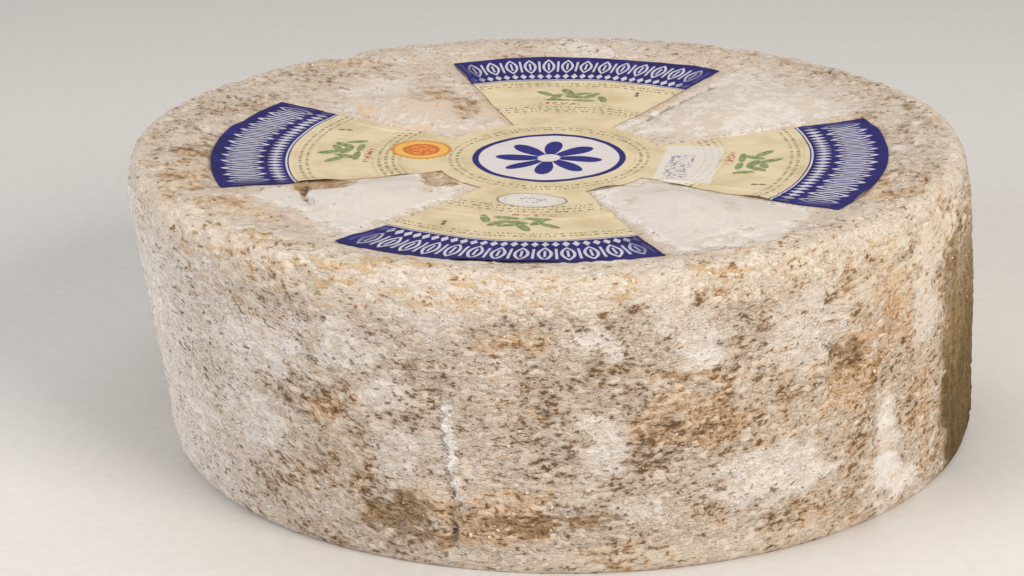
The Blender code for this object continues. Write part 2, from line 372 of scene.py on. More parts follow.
def settled(nominal, radius, z):
    """Where a point of the turned drum lies on the settled wheel."""
    angle = spoke_angle(nominal)
    a = math.radians(angle)
    on_top = smooth((z / WHEEL_HEIGHT - 0.5) / 0.45)
    to_label = on_top * (1.0 - smooth((radius - LABEL_RADIUS) / (FLAT_EDGE - LABEL_RADIUS)))
    x = radius * math.cos(a) + LABEL_CENTRE[0] * to_label
    y = radius * math.sin(a) + LABEL_CENTRE[1] * to_label
    at_wall = smooth((radius - FLAT_EDGE + 0.004) / 0.008) * smooth(z / BASE_ROUND_UP)
    notch = rim_notch(angle)
    out = (wall_swell(angle, z) - notch * on_top) * at_wall
    x += out * math.cos(a)
    y += out * math.sin(a)
    height = z + on_top * (dish(x, y) - notch * at_wall)
    height += to_label * pillow(nominal, radius)
    lean = LEAN * (0.5 - z / WHEEL_HEIGHT) + (WHEEL_RADIUS - BASE_RADIUS) / 2.0
    return Vector((x + lean, y, height))


# ------------------------------------------------------------------ fields over the surface
def arm_half_width(nominal, radius):
    """Half the angle of an arm in degrees at a radius: its cut edges are a little wavy."""
    side = math.floor(nominal / 45.0) % 8
    wave = EDGE_WAVE * noise.noise(Vector((radius / EDGE_WAVE_LENGTH, side * 7.3, 0.0)))
    wave *= smooth((radius - HUB_RADIUS) / 0.010)
    return HALF_ARM + math.degrees(wave / max(radius, HUB_RADIUS))


def label_reach(nominal, radius):
    """How far outside the label's outline a point of the top lies, below 0 under the paper."""
    offset = abs((nominal + 45.0) % 90.0 - 45.0) - arm_half_width(nominal, radius)
    beside = radius * math.sin(math.radians(offset))
    return min(max(beside, radius - LABEL_RADIUS), radius - HUB_RADIUS)


def line_distance(x, y, points):
    """How far a place lies from a line through points, below 0 on its right."""
    nearest = 1.0
    for (ax, ay), (bx, by) in zip(points, points[1:]):
        dx, dy = bx - ax, by - ay
        t = min(max(((x - ax) * dx + (y - ay) * dy) / (dx * dx + dy * dy), 0.0), 1.0)
        away = math.hypot(x - ax - t * dx, y - ay - t * dy)
        if away < abs(nearest):
            nearest = math.copysign(away, (y - ay) * dx - (x - ax) * dy)
    return nearest


def stain(rows, x, y, ragged, wrap=False):
    """The strongest of some ragged stains at a place. With wrap, x is an angle in degrees."""
    most = 0.0
    for at_x, at_y, half_x, half_y, strength in rows:
        dx = math.radians(turned(x - at_x)) * WHEEL_RADIUS if wrap else x - at_x
        near = math.hypot(dx / half_x, (y - at_y) / half_y)
        if near < 2.2:
            most = max(most, strength * smooth((1.2 - near + 1.0 * ragged) / STAIN_EDGE))
    return most


def grained(place):
    """A place with the rind's grain laid flat: the flecks are long, and climb towards the sides."""
    return Vector((place.x, place.y, GRAIN_SQUASH * (place.z - GRAIN_CLIMB * place.x ** 2)))


def paper_relief(nominal, radius):
    """How far the paper follows small lumps under it, cockles and is creased."""
    a = math.radians(nominal)
    x, y = radius * math.cos(a), radius * math.sin(a)
    swell = PAPER_SWELL * noise.noise(Vector((x, y, 0.0)) / PAPER_SWELL_SIZE)
    out = swell + PAPER_COCKLE * noise.noise(Vector((x, y, 0.4)) / PAPER_COCKLE_SIZE)
    for height, half_width, points in CREASES:
        out += height * bell(line_distance(x, y, points) / half_width)
    return out


def sunken_place(x, y, ragged):
    """How bare a place of the top is, as a share, and how deep it is sunken."""
    bare, deepest = 0.0, 0.0
    for at_x, at_y, half_x, half_y, deep in TOP_HOLLOWS:
        near = math.hypot((x - at_x) / half_x, (y - at_y) / half_y)
        sunk = smooth((1.3 - near + 0.5 * ragged) / 0.4)
        bare = max(bare, deep / BARE_DEPTH * sunk)
        deepest = max(deepest, deep * sunk)
    return bare, deepest


def nearest_crack(x, y, z, angle, on_top):
    """The nearest crack: the depth of its groove, the distance to it, and its strength at a place."""
    if on_top < 0.5:
        x, y = math.radians(angle) * WHEEL_RADIUS, z
        cracks = [row for row in CRACKS if abs(turned(angle - row[2][0][0])) < 8.0]
    else:
        cracks = TOP_CRACKS
    nearest, side, strong, groove = 1.0, 0.0, 0.0, 0.0
    for depth, strength, points in cracks:
        if on_top < 0.5:
            points = [(x + math.radians(turned(p - angle)) * WHEEL_RADIUS, q) for p, q in points]
        away = line_distance(x, y, points)
        if abs(away) < nearest:
            nearest, side = abs(away), away
            strong = strength * bell(away / CRACK_REACH)
            groove = depth * bell(away / CRACK_HALF_WIDTH)
    return groove, side, strong


def brown_and_shade_strip(bearing, z, ragged):
    """How brown and streaked the wall is in the strip on its right, as a share: partly a brown stain, partly
    painted shade on the side that turns away from the light.
    """
    wide = STRIP_WIDENING * bell((z - STRIP_WIDEST) / STRIP_WIDE_REACH)
    strip = smooth((bearing - STRIP_START + 2.0 * ragged + wide) / (STRIP_START_EDGE + wide))
    strip *= 1.0 - smooth((bearing - STRIP_END + 6.0 * ragged) / STRIP_END_EDGE)
    faded = smooth((z - STRIP_TOP + 0.006 * ragged) / 0.014)
    strip *= 1.0 - 0.35 * smooth((z - 0.030) / 0.035) - 0.65 * faded
    return strip


def rind_stains(nominal, radius, z, place, on_top, ragged):
    """What lies on the rind at a place, each as a share, and how deep the top is sunken there."""
    angle = spoke_angle(nominal)
    bearing = turned(angle)
    on_wall = 1.0 - on_top
    x, y = place.x + LEAN / 2.0, place.y
    broad = noise.noise(place / BROAD_SIZE + Vector((3.1, 0.0, 7.7)))

    # The soft white cushions between the arms, the creamy rim, and where the top is worn beside it
    share, gap = gap_share(nominal, CUSHION_EDGE)
    _, middle, half_length = PILLOWS[gap]
    cushion = on_top * share * smooth((1.15 - abs(radius - middle) / half_length + 0.4 * ragged) / 0.5)
    rim = smooth((z - RIM_FROM_HEIGHT + 0.006 * ragged) / 0.010)
    rim *= smooth((radius - RIM_FROM_RADIUS + 0.006 * ragged) / 0.010)
    front = smooth(-0.4 - 1.6 * math.sin(math.radians(angle)))
    left = on_wall * bell(turned(angle + 165.0) / 45.0)
    sideways = math.cos(math.radians(angle)) ** 2
    worn = on_top * smooth((radius - WORN_FROM_RADIUS) / 0.012)
    worn *= 1.0 - smooth((radius - WORN_TO_RADIUS) / 0.005)
    worn *= (0.35 + 0.65 * sideways) * smooth(1.0 + 1.6 * ragged)
    bare, sunk = sunken_place(x, y, ragged) if on_top > 0.5 else (0.0, 0.0)

    # Tan crust, brown soil and rust
    tan = on_wall * stain(TAN_STAINS, angle, z, ragged, wrap=True)
    tan = max(tan, on_top * max(stain(TOP_TAN, x, y, ragged), 0.22 * smooth(y / 0.05)))
    tan = max(tan, 0.4 * smooth((broad - 0.16 + 0.4 * ragged) / 0.3))
    from_front = smooth((bearing + 100.0) / 45.0)
    to_strip = smooth(-bearing / 40.0)
    tan = max(tan, 0.40 * on_wall * from_front * to_strip)
    soil = max(on_wall * stain(SOIL_STAINS, angle, z, 0.8 * ragged, wrap=True), 0.45 * worn)
    rust = on_wall * stain(RUST_STAINS, angle, z, ragged, wrap=True)
    rust = max(rust, on_top * stain(TOP_RUST, x, y, ragged))
    streak = noise.fractal(Vector((place.x, place.y, 3.0 * place.z)) / RUST_STREAK_SIZE, 0.9, 2.1, 3)
    ochre = (0.10 + 0.30 * front) * (1.0 - 0.6 * smooth((bearing + 88.0) / 25.0))
    rust = max(rust, rim * ochre * (0.5 + smooth((streak + 0.10) / 0.45)))

    # Pale mould, which covers tan crust and is gone from bare places
    pale = on_wall * stain(PALE_PATCHES, angle, z, 0.6 * ragged, wrap=True)
    pale = max(pale, 0.5 * smooth((-broad - 0.14 + 0.3 * ragged) / 0.3) * (1.0 - 0.8 * worn), 0.88 * left)
    pale = max(pale, CUSHION_WHITE[gap] * cushion * smooth(0.9 + ragged))
    tan = max(tan * (1.0 - 0.8 * pale), bare)
    pale *= 1.0 - bare
    cushion *= 1.0 - 0.6 * bare
    soil = max(soil, 0.75 * bare)
    # Cream on the wall; beside the strip on the right it is partly painted light.
    cream = on_wall * stain(CREAM_AND_LIT_PATCHES, angle, z, ragged, wrap=True)
    rim = max(rim * (0.35 + 0.65 * front), cream)

    # Where the mould is closed and lies calm, with few flecks
    calm = max((0.45 + 0.25 * on_top) * pale * (1.0 - left), 0.20 * left, cushion)
    calm = max(calm, 0.58 * on_top * (1.0 - 0.5 * rim - 0.4 * worn), 0.22 * rim, 0.5 * cream)
    return {"tan": tan, "rust": rust, "pale": pale, "soil": soil, "rim": rim, "calm": calm}, sunk


def rind_fields(nominal, radius, z, place):
    """The relief of the rind at a place in metres, with all that lies on it, as make_rind keeps it."""
    on_top = smooth((z / WHEEL_HEIGHT - 0.93) / 0.06)
    angle = spoke_angle(nominal)
    grain = grained(place)
    ragged = noise.fractal(grain / RAGGED_SIZE, 0.9, 2.1, 3)
    reach = label_reach(nominal, radius) if on_top > 0.0 else 1.0
    field, sunk = rind_stains(nominal, radius, z, place, on_top, ragged)
    tan, rust, rim, calm = field["tan"], field["rust"], field["rim"], field["calm"]

    # Flakes, grit and pits
    flake_noise = noise.fractal(grain / FLAKE_SIZE + Vector((0.0, 5.0, 1.0)), 0.8, 2.2, 2)
    flake = smooth((flake_noise + 0.08) / 0.22)
    grit = noise.noise(grain / GRIT_SIZE)
    pitted = noise.noise(place / PITTED_SIZE + Vector((1.7, 3.3, 0.0))) + 0.35 * tan + 0.25 * rim
    pit = smooth((noise.noise(grain / PIT_SIZE + Vector((4.0, 0.0, 0.0))) - 0.34) / 0.18)
    pit *= smooth((pitted - 0.05) / 0.3)

    # The nearest crack, and the pale lip beside one of them
    groove, side, strong = nearest_crack(place.x + LEAN / 2.0, place.y, z, angle, on_top)
    ridge = bell(turned(angle - RIDGE_ANGLE) / 3.0)
    ridge *= smooth((z - RIDGE_FROM) / 0.003)
    ridge *= smooth((RIDGE_TO - z) / 0.004)
    lip = bell((side - CRACK_REACH / 2.0) / CRACK_HALF_WIDTH)

    # All of it as relief, smoother where the mould is calm, and brought down to the paper beside it
    rough = 1.0 - 0.9 * calm
    rim_grain = noise.noise(grain / RIM_GRAIN_SIZE + Vector((0.0, 9.0, 0.0)))
    relief = SOFT_LUMP_HEIGHT * noise.noise(place / SOFT_LUMP_SIZE) * (1.0 - 0.4 * calm)
    relief += (rough * (FLAKE_HEIGHT + TAN_FLAKE_HEIGHT * tan) + RIM_FLAKE_HEIGHT * rim) * (flake - 0.5)
    relief += rough * GRIT_HEIGHT * grit + RIM_GRAIN_HEIGHT * rim * rim_grain
    relief -= rough * PIT_DEPTH * pit
    relief += RIDGE_HEIGHT * ridge * lip - groove - sunk
    if on_top > 0.0:
        beside = smooth(reach / STAND_EDGE)
        under_paper = paper_relief(nominal, radius) - RIND_SINK
        stand = (RIND_STAND + relief) * beside + (1.0 - beside) * under_paper
        relief += (stand - relief) * on_top
        pit *= 1.0 - on_top * (1.0 - beside)

    # Brown and streaked on the right of the wall: partly a stain, partly painted shade.
    strip = brown_and_shade_strip(turned(angle), z, ragged)
    loose = rough * max(0.18, tan, rim, rust) * smooth(z / 0.005 - 0.6) * (1.0 - strip)
    field["relief"] = relief
    # Painted shade: darker in the pits and in the low places between flakes.
    field["hollow_shade"] = max(0.8 * pit * rough, rough * 0.4 * (1.0 - flake))
    field["brown_and_shade_strip"] = strip
    field["crumbs"] = loose if reach > 0.0012 else 0.0
    # A thin brownish line beside the paper's edge, partly the rind's colour and partly painted shade where
    # the paper meets the rind.
    field["paper_edge_brown_and_shade"] = on_top * bell((reach - 0.0006) / 0.0022) if reach > -0.002 else 0.0
    field["crack_side"], field["crack_near"], field["ridge"] = side, strong, ridge
    return field


# ------------------------------------------------------------------ meshes
def evenly(start, end, step):
    """Places from start up to but without end, about a step apart."""
    count = max(1, round(abs(end - start) / step))
    return [start + (end - start) * i / count for i in range(count)]


def quarter_round(x, z, across, up, start, count):
    """Points of a quarter of an oval about x and z, turning down from a start in degrees."""
    turns = [math.radians(start - 90.0 * i / count) for i in range(count)]
    return [(x + across * math.cos(t), z + up * math.sin(t)) for t in turns]


def rind_profile():
    """Radius and height of each ring of the rind, from its top to its base."""
    points = [(r, WHEEL_HEIGHT) for r in COVERED_RINGS]
    points += [(r, WHEEL_HEIGHT) for r in evenly(HUB_RADIUS - 0.001, FLAT_EDGE, RING_GAP)]
    high, low = WHEEL_HEIGHT - TOP_ROUND_DOWN, BASE_ROUND_UP
    points += quarter_round(FLAT_EDGE, high, TOP_ROUND_ACROSS, TOP_ROUND_DOWN, 90.0, 11)
    for z in evenly(high, low, RING_GAP * 0.94):
        points.append((BASE_RADIUS + (WHEEL_RADIUS - BASE_RADIUS) * (z - low) / (high - low), z))
    foot = BASE_RADIUS - BASE_ROUND_ACROSS
    points += quarter_round(foot, low, BASE_ROUND_ACROSS, BASE_ROUND_UP, 0.0, 13)
    points += [(foot, 0.0), (foot * 0.7, 0.0), (foot * 0.3, 0.0)]
    return points


def ring_faces(rings, spokes):
    """Quads between rings of vertices, and a fan at each end to the two last vertices."""
    faces = []
    for ring in range(rings - 1):
        for spoke in range(spokes):
            a, b = ring * spokes + spoke, ring * spokes + (spoke + 1) % spokes
            faces.append((a, a + spokes, b + spokes, b))
    top, base = rings * spokes, rings * spokes + 1
    last = (rings - 1) * spokes
    for spoke in range(spokes):
        faces.append((top, spoke, (spoke + 1) % spokes))
        faces.append((base, last + (spoke + 1) % spokes, last + spoke))
    return faces


def placed(name, mesh, finish):
    """The mesh as an object at the origin, with one finish."""
    mesh.name = name
    mesh.materials.clear()
    mesh.materials.append(finish)
    piece = bpy.data.objects.new(name, mesh)
    bpy.context.scene.collection.objects.link(piece)
    return piece


def make_rind(finish):
    """The rind: rings of vertices on the settled drum, moved along their normals by its relief."""
    profile = rind_profile()
    lattice = [(spoke * 360.0 / SPOKES, r, z) for r, z in profile for spoke in range(SPOKES)]
    lattice += [(0.0, 0.0, WHEEL_HEIGHT), (0.0, 0.0, 0.0)]
    places = [settled(*point) for point in lattice]
    mesh = bpy.data.meshes.new("rind")
    mesh.from_pydata(places, [], ring_faces(len(profile), SPOKES))
    normals = [Vector(entry.vector) for entry in mesh.vertex_normals]
    fields = [rind_fields(*point, place) for point, place in zip(lattice, places)]
    moved = []
    for (_, _, z), place, normal, field in zip(lattice, places, normals, fields):
        clear = smooth(z / 0.004)
        moved.extend(place + normal * field["relief"] * clear)
    mesh.vertices.foreach_set("co", moved)
    for name in (*KEPT_FIELDS, "crumbs"):
        layer = mesh.attributes.new(name, "FLOAT", "POINT")
        layer.data.foreach_set("value", [field[name] for field in fields])
    mesh.update()
    mesh.shade_smooth()
    return placed("rind", mesh, finish)


def label_lattice():
    """The label's vertices as nominal angle and radius, and its quads."""
    hub = evenly(PAPER_RING_GAP, HUB_RADIUS, PAPER_RING_GAP) + [HUB_RADIUS]
    arm = evenly(HUB_RADIUS, LABEL_RADIUS, PAPER_RING_GAP)[1:] + [LABEL_RADIUS]
    across = []
    for quarter in range(4):
        across += [(quarter * 90.0, -1.0 + 2.0 * i / ARM_STEPS) for i in range(ARM_STEPS + 1)]
        across += [(quarter * 90.0, 1.0 + i / GAP_STEPS) for i in range(1, GAP_STEPS)]
    gap = 90.0 - 2.0 * HALF_ARM
    places, faces, at = [(0.0, 0.0)], [], {}
    for ring, radius in enumerate(hub + arm):
        for spoke, (centre, share) in enumerate(across):
            if share > 1.0 and radius > HUB_RADIUS:
                continue
            side = centre + math.copysign(1.0, share)
            if abs(share) <= 1.0:
                nominal = centre + share * arm_half_width(side, radius)
            else:
                nominal = centre + HALF_ARM + (share - 1.0) * gap
            at[ring, spoke] = len(places)
            places.append((nominal, radius))
    count = len(across)
    for ring in range(len(hub + arm)):
        for spoke in range(count):
            beyond = (spoke + 1) % count
            if ring == 0:
                faces.append((0, at[0, spoke], at[0, beyond]))
            elif (ring, spoke) in at and (ring, beyond) in at:
                quad = (at[ring - 1, spoke], at[ring, spoke], at[ring, beyond], at[ring - 1, beyond])
                faces.append(quad)
    return places, faces


def make_label(finish):
    """The paper label: a draped sheet over the top, given its thickness below."""
    lattice, faces = label_lattice()
    places, flat = [], []
    for nominal, radius in lattice:
        a = math.radians(nominal)
        edge = -label_reach(nominal, radius)
        spot = Vector((math.cos(a), math.sin(a), 0.0)) * radius
        loose = noise.noise(spot / EDGE_CURL_SIZE + Vector((0.0, 0.0, 4.0)))
        curl = EDGE_CURL * smooth((loose - 0.05) / 0.4) * bell(edge / EDGE_CURL_REACH)
        up = PAPER_LIFT + curl + paper_relief(nominal, radius)
        places.append(settled(nominal, radius, WHEEL_HEIGHT) + Vector((0.0, 0.0, up)))
        flat.extend((radius * math.cos(a), radius * math.sin(a), 0.0))
    mesh = bpy.data.meshes.new("printed_label")
    mesh.from_pydata(places, [], faces)
    layer = mesh.attributes.new("label_flat", "FLOAT_VECTOR", "POINT")
    layer.data.foreach_set("vector", flat)
    label = placed("printed_label", mesh, finish)
    mesh.shade_smooth()
    thick = label.modifiers.new("thickness", "SOLIDIFY")
    thick.thickness = PAPER_THICKNESS
    thick.offset = -1.0
    thick.use_even_offset = False
    depsgraph = bpy.context.evaluated_depsgraph_get()
    plain = bpy.data.meshes.new_from_object(label.evaluated_get(depsgraph))
    label.modifiers.clear()
    label.data = plain
    plain.name = "printed_label"
    plain.set_sharp_from_angle(angle=math.radians(60.0))
    return label


CRUMB_PUSH = 0.0007


def crumb_tree():
    """A tree that strews small lumps over the rind, thickest where its crumbs attribute is high."""
    tree = bpy.data.node_groups.new("crumb_strewing", "GeometryNodeTree")
    face = tree.interface
    face.new_socket("Geometry", in_out="INPUT", socket_type="NodeSocketGeometry")
    for name, kind in (
        ("Most per square metre", "NodeSocketFloat"), ("Smallest", "NodeSocketFloat"),
        ("Largest", "NodeSocketFloat"), ("Flatness", "NodeSocketFloat"), ("Seed", "NodeSocketInt"),
        ("Finish", "NodeSocketMaterial"),
    ):
        face.new_socket(name, in_out="INPUT", socket_type=kind)
    face.new_socket("Geometry", in_out="OUTPUT", socket_type="NodeSocketGeometry")
    given = tree.nodes.new("NodeGroupInput").outputs
    where = add(tree, "GeometryNodeInputNamedAttribute", {"Name": "crumbs"}, data_type="FLOAT")
    most = given["Most per square metre"]
    density = add(tree, "ShaderNodeMath", {0: where, 1: most}, operation="MULTIPLY")
    points = add(
        tree, "GeometryNodeDistributePointsOnFaces",
        {"Mesh": given["Geometry"], "Density": density, "Seed": given["Seed"]}, out=None,
    )
    lump = add(tree, "GeometryNodeMeshIcoSphere", {"Radius": 0.5, "Subdivisions": 1})
    size = add(
        tree, "FunctionNodeRandomValue",
        {2: given["Smallest"], 3: given["Largest"], "Seed": given["Seed"]}, out=1, data_type="FLOAT",
    )
    wide = add(
        tree, "FunctionNodeRandomValue",
        {0: (0.7, 0.6, 0.5), 1: (1.4, 1.1, 1.0), "Seed": given["Seed"]}, data_type="FLOAT_VECTOR",
    )
    low = add(tree, "ShaderNodeCombineXYZ", {"X": 1.0, "Y": 1.0, "Z": given["Flatness"]})
    wide = add(tree, "ShaderNodeVectorMath", {0: wide, 1: low}, operation="MULTIPLY")
    scale = add(tree, "ShaderNodeVectorMath", {0: wide, "Scale": size}, operation="SCALE")
    spin = add(
        tree, "FunctionNodeRandomValue",
        {0: (-0.35, -0.35, 0.0), 1: (0.35, 0.35, 6.28), "Seed": given["Seed"]}, data_type="FLOAT_VECTOR",
    )
    turn = add(
        tree, "FunctionNodeRotateRotation",
        {"Rotation": points["Rotation"], "Rotate By": spin}, rotation_space="LOCAL",
    )
    strewn = add(
        tree, "GeometryNodeInstanceOnPoints",
        {"Points": points["Points"], "Instance": lump, "Rotation": turn, "Scale": scale},
    )
    tone = add(tree, "FunctionNodeRandomValue", {"Seed": 5}, out=1, data_type="FLOAT")
    strewn = add(
        tree, "GeometryNodeStoreNamedAttribute",
        {"Geometry": strewn, "Name": "tone", "Value": tone}, data_type="FLOAT", domain="INSTANCE",
    )
    real = add(tree, "GeometryNodeRealizeInstances", {"Geometry": strewn})
    # Each vertex is pushed a little its own way, by up to half of CRUMB_PUSH, so no lump is a ball
    uneven = add(tree, "ShaderNodeTexNoise", {"Scale": 900.0, "Detail": 0.0}, out="Color")
    push = add(tree, "ShaderNodeVectorMath", {0: uneven, 1: (0.5, 0.5, 0.5)}, operation="SUBTRACT")
    push = add(tree, "ShaderNodeVectorMath", {0: push, "Scale": CRUMB_PUSH}, operation="SCALE")
    real = add(tree, "GeometryNodeSetPosition", {"Geometry": real, "Offset": push})
    real = add(tree, "GeometryNodeSetMaterial", {"Geometry": real, "Material": given["Finish"]})
    out = tree.nodes.new("NodeGroupOutput")
    tree.links.new(real, out.inputs["Geometry"])
    return tree


def strew_crumbs(name, rind, tree, finish, inputs):
    """A piece of joined crumbs over the rind, made by the tree and kept as a plain mesh."""
    piece = bpy.data.objects.new(name, rind.data)
    bpy.context.scene.collection.objects.link(piece)
    strewing = piece.modifiers.new("strewing", "NODES")
    strewing.node_group = tree
    for socket in tree.interface.items_tree:
        if socket.in_out == "INPUT" and socket.name in inputs:
            strewing[socket.identifier] = inputs[socket.name]
        if socket.name == "Finish":
            strewing[socket.identifier] = finish
    depsgraph = bpy.context.evaluated_depsgraph_get()
    plain = bpy.data.meshes.new_from_object(piece.evaluated_get(depsgraph))
    piece.modifiers.clear()
    piece.data = plain
    plain.name = name
    plain.shade_smooth()
    return piece


# ------------------------------------------------------------------ materials
def colour(hex_code, alpha=1.0):
    """An sRGB hex colour as the linear numbers that a shader takes."""
    parts = [int(hex_code[i:i + 2], 16) / 255.0 for i in (1, 3, 5)]
    return (*(c / 12.92 if c <= 0.04045 else ((c + 0.055) / 1.055) ** 2.4 for c in parts), alpha)


def add(tree, kind, inputs=None, out=0, **settings):
    """Add a node with its settings and inputs, and return one output, or all of them."""
    node = tree.nodes.new(kind)
    for name, value in settings.items():
        setattr(node, name, value)
    for name, value in (inputs or {}).items():
        if isinstance(value, bpy.types.NodeSocket):
            tree.links.new(value, node.inputs[name])
        else:
            node.inputs[name].default_value = value
    return node.outputs if out is None else node.outputs[out]


def painted(tree, under, layers):
    """Colours laid one over another: each with a field, where it starts and is full, and its strength."""
    for over, field, start, full, strength in layers:
        share = add(
            tree, "ShaderNodeMapRange",
            {"Value": field, "From Min": start, "From Max": full, "To Max": strength},
            interpolation_type="SMOOTHSTEP",
        )
        under, over = (colour(tint) if isinstance(tint, str) else tint for tint in (under, over))
        under = add(tree, "ShaderNodeMix", {0: share, 6: under, 7: over}, out=2, data_type="RGBA")
    return under


def weighed(tree, start, *terms):
    """A number plus fields, each times its own weight."""
    for field, weight in terms:
        start = add(tree, "ShaderNodeMath", {0: field, 1: weight, 2: start}, operation="MULTIPLY_ADD")
    return start


def grain_scale(millimetres):
    """The scale of a noise whose grains are this many millimetres across."""
    return 1000.0 / millimetres


def new_material(name):
    """A new finish, its node tree and its shader."""
    finish = bpy.data.materials.new(name)
    finish.use_nodes = True
    return finish, finish.node_tree, finish.node_tree.nodes["Principled BSDF"]


def rind_grains(tree, place):
    """The noises of the rind by name, each with grains of its own size, and the height over the base."""
    parts = add(tree, "ShaderNodeSeparateXYZ", {0: place}, out=None)
    bow = weighed(tree, 0.0, (parts["X"], parts["X"]))
    height = weighed(tree, 0.0, (parts["Z"], GRAIN_SQUASH), (bow, -GRAIN_CLIMB * GRAIN_SQUASH))
    # The grain laid flat, as grained() has it: the flecks are long, and climb towards the sides
    grain = add(tree, "ShaderNodeCombineXYZ", {"X": parts["X"], "Y": parts["Y"], "Z": height})
    tall = add(tree, "ShaderNodeVectorMath", {0: place, 1: (1.0, 1.0, 0.12)}, operation="MULTIPLY")
    lying = add(tree, "ShaderNodeVectorMath", {0: place, 1: (1.0, 1.0, 4.0)}, operation="MULTIPLY")
    # Name, where it is read, millimetres across, detail, roughness. The rind's real specks are half a
    # millimetre and less, too fine to show, so they are drawn at 1.4 mm.
    kinds = (
        ("clouds", place, 16.0, 3.0, 0.60),
        ("plates", grain, 5.8, 4.0, 0.62),
        ("strokes", grain, 2.7, 3.0, 0.60),
        ("specks", grain, 1.4, 2.0, 0.60),
        ("streaks", tall, 3.2, 3.0, 0.60),
        ("smears", lying, 7.5, 3.0, 0.60),
    )
    noises = {}
    for name, where, size, detail, roughness in kinds:
        inputs = {0: where, "Scale": grain_scale(size), "Detail": detail, "Roughness": roughness}
        noises[name] = add(tree, "ShaderNodeTexNoise", inputs)
    return noises, parts["Z"]


def mould_and_crust(tree, field, grain):
    """What lies where: warm mould, then cool white mould, tan crust, rust, and cream on the rim."""
    patch = weighed(
        tree, -4.1, (field["pale"], 1.0), (grain["clouds"], 0.6), (grain["plates"], 4.2),
        (grain["strokes"], 3.4),
    )
    crust = weighed(
        tree, -1.55, (field["tan"], 1.0), (grain["clouds"], 0.8), (grain["plates"], 1.6),
        (grain["strokes"], 0.7), (field["calm"], -0.3),
    )
    rusty = weighed(
        tree, -3.0, (field["rust"], 1.0), (grain["smears"], 4.0), (grain["strokes"], 2.0),
        (field["calm"], -0.3),
    )
    tint = painted(tree, "#c6b6a4", (
        ("#d6cdc3", patch, 0.15, 0.45, 1.0), ("#dfd7ce", patch, 0.60, 1.10, 1.0),
        ("#cec5ba", field["calm"], 0.70, 1.00, field["pale"]),
        ("#d0b496", crust, 0.15, 0.80, 0.9), ("#c69d73", rusty, 0.35, 1.00, 0.70),
        ("#d2c4b2", field["rim"], 0.10, 0.90, 0.9),
        ("#c5a272", rusty, 0.32, 0.85, weighed(tree, 0.0, (field["rim"], 0.65))),
    ))
    return tint, crust


def wear_and_marks(tree, field, grain):
    """How far the mould is worn at a place, and how strongly it is marked: low marks are painted highlights
    on the flakes, high marks dark strokes and pits, partly painted shade.
    """
    wear = weighed(
        tree, 0.025, (grain["clouds"], 0.60), (grain["plates"], 0.72), (grain["strokes"], 0.62),
        (field["tan"], 0.03), (field["pale"], -0.11), (field["calm"], -0.14), (field["rim"], -0.02),
        (field["soil"], 0.12), (field["rust"], -0.05),
    )
    mark = weighed(
        tree, -0.10, (grain["specks"], 0.75), (grain["strokes"], 0.80), (wear, 0.5),
        (grain["clouds"], 0.10), (field["calm"], -0.08),
    )
    return wear, mark


def crack_edges(tree, field, grain):
    """How far a place lies from the ragged line of a crack, and from the middle of the lip beside it."""
    across = weighed(
        tree, -5.5, (field["crack_side"], 1000.0), (grain["strokes"], 8.0), (grain["specks"], 3.0),
    )
    lip = stripe(tree, across, 0.4, 3.6)
    away = add(tree, "ShaderNodeMath", {0: across}, operation="ABSOLUTE")
    return weighed(tree, -3.0, (away, 1.0), (grain["plates"], 6.0)), lip


def worn_and_marked(tree, under, field, grain, crust, wear, mark, quiet):
    """The mould worn to brown and soiled, with pale flecks painted as highlights on its flakes, and dark
    strokes and pits between them, partly painted shade.
    """
    brown = painted(tree, "#b3a08d", (
        ("#bb9975", crust, 0.3, 0.8, 0.9), ("#bd9d74", field["rim"], 0.2, 0.9, 1.0),
    ))
    dark = painted(tree, "#8b755e", (
        ("#8c6b47", crust, 0.3, 0.8, 0.9), ("#9a764d", field["rim"], 0.2, 0.9, 1.0),
    ))
    dirt = weighed(tree, -1.2, (field["soil"], 1.0), (grain["strokes"], 1.2), (grain["plates"], 1.2))
    hollow_shade = weighed(tree, 0.0, (field["hollow_shade"], 1.0), (grain["strokes"], -0.5))
    return painted(tree, under, (
        (brown, wear, 0.97, 1.10, 0.70), (dark, wear, 1.10, 1.28, 0.20),
        ("#8a7152", dirt, 0.2, 1.0, 0.74),
        # Painted highlights: pale flecks on the tops of the flakes.
        ("#e8dfd5", mark, 1.12, 0.965, weighed(tree, 0.0, (quiet, 0.35))),
        # Dark strokes and pits between the flakes: partly dark mould, partly painted shade along the flakes'
        # lower edges.
        (dark, mark, 1.278, 1.342, weighed(tree, 0.0, (quiet, 0.85))),
        ("#58432e", mark, 1.365, 1.45, weighed(tree, 0.0, (quiet, 0.85))),
        # Painted shade in the pits and between the flakes.
        ("#6f583b", hollow_shade, 0.15, 0.75, 0.6),
    ))


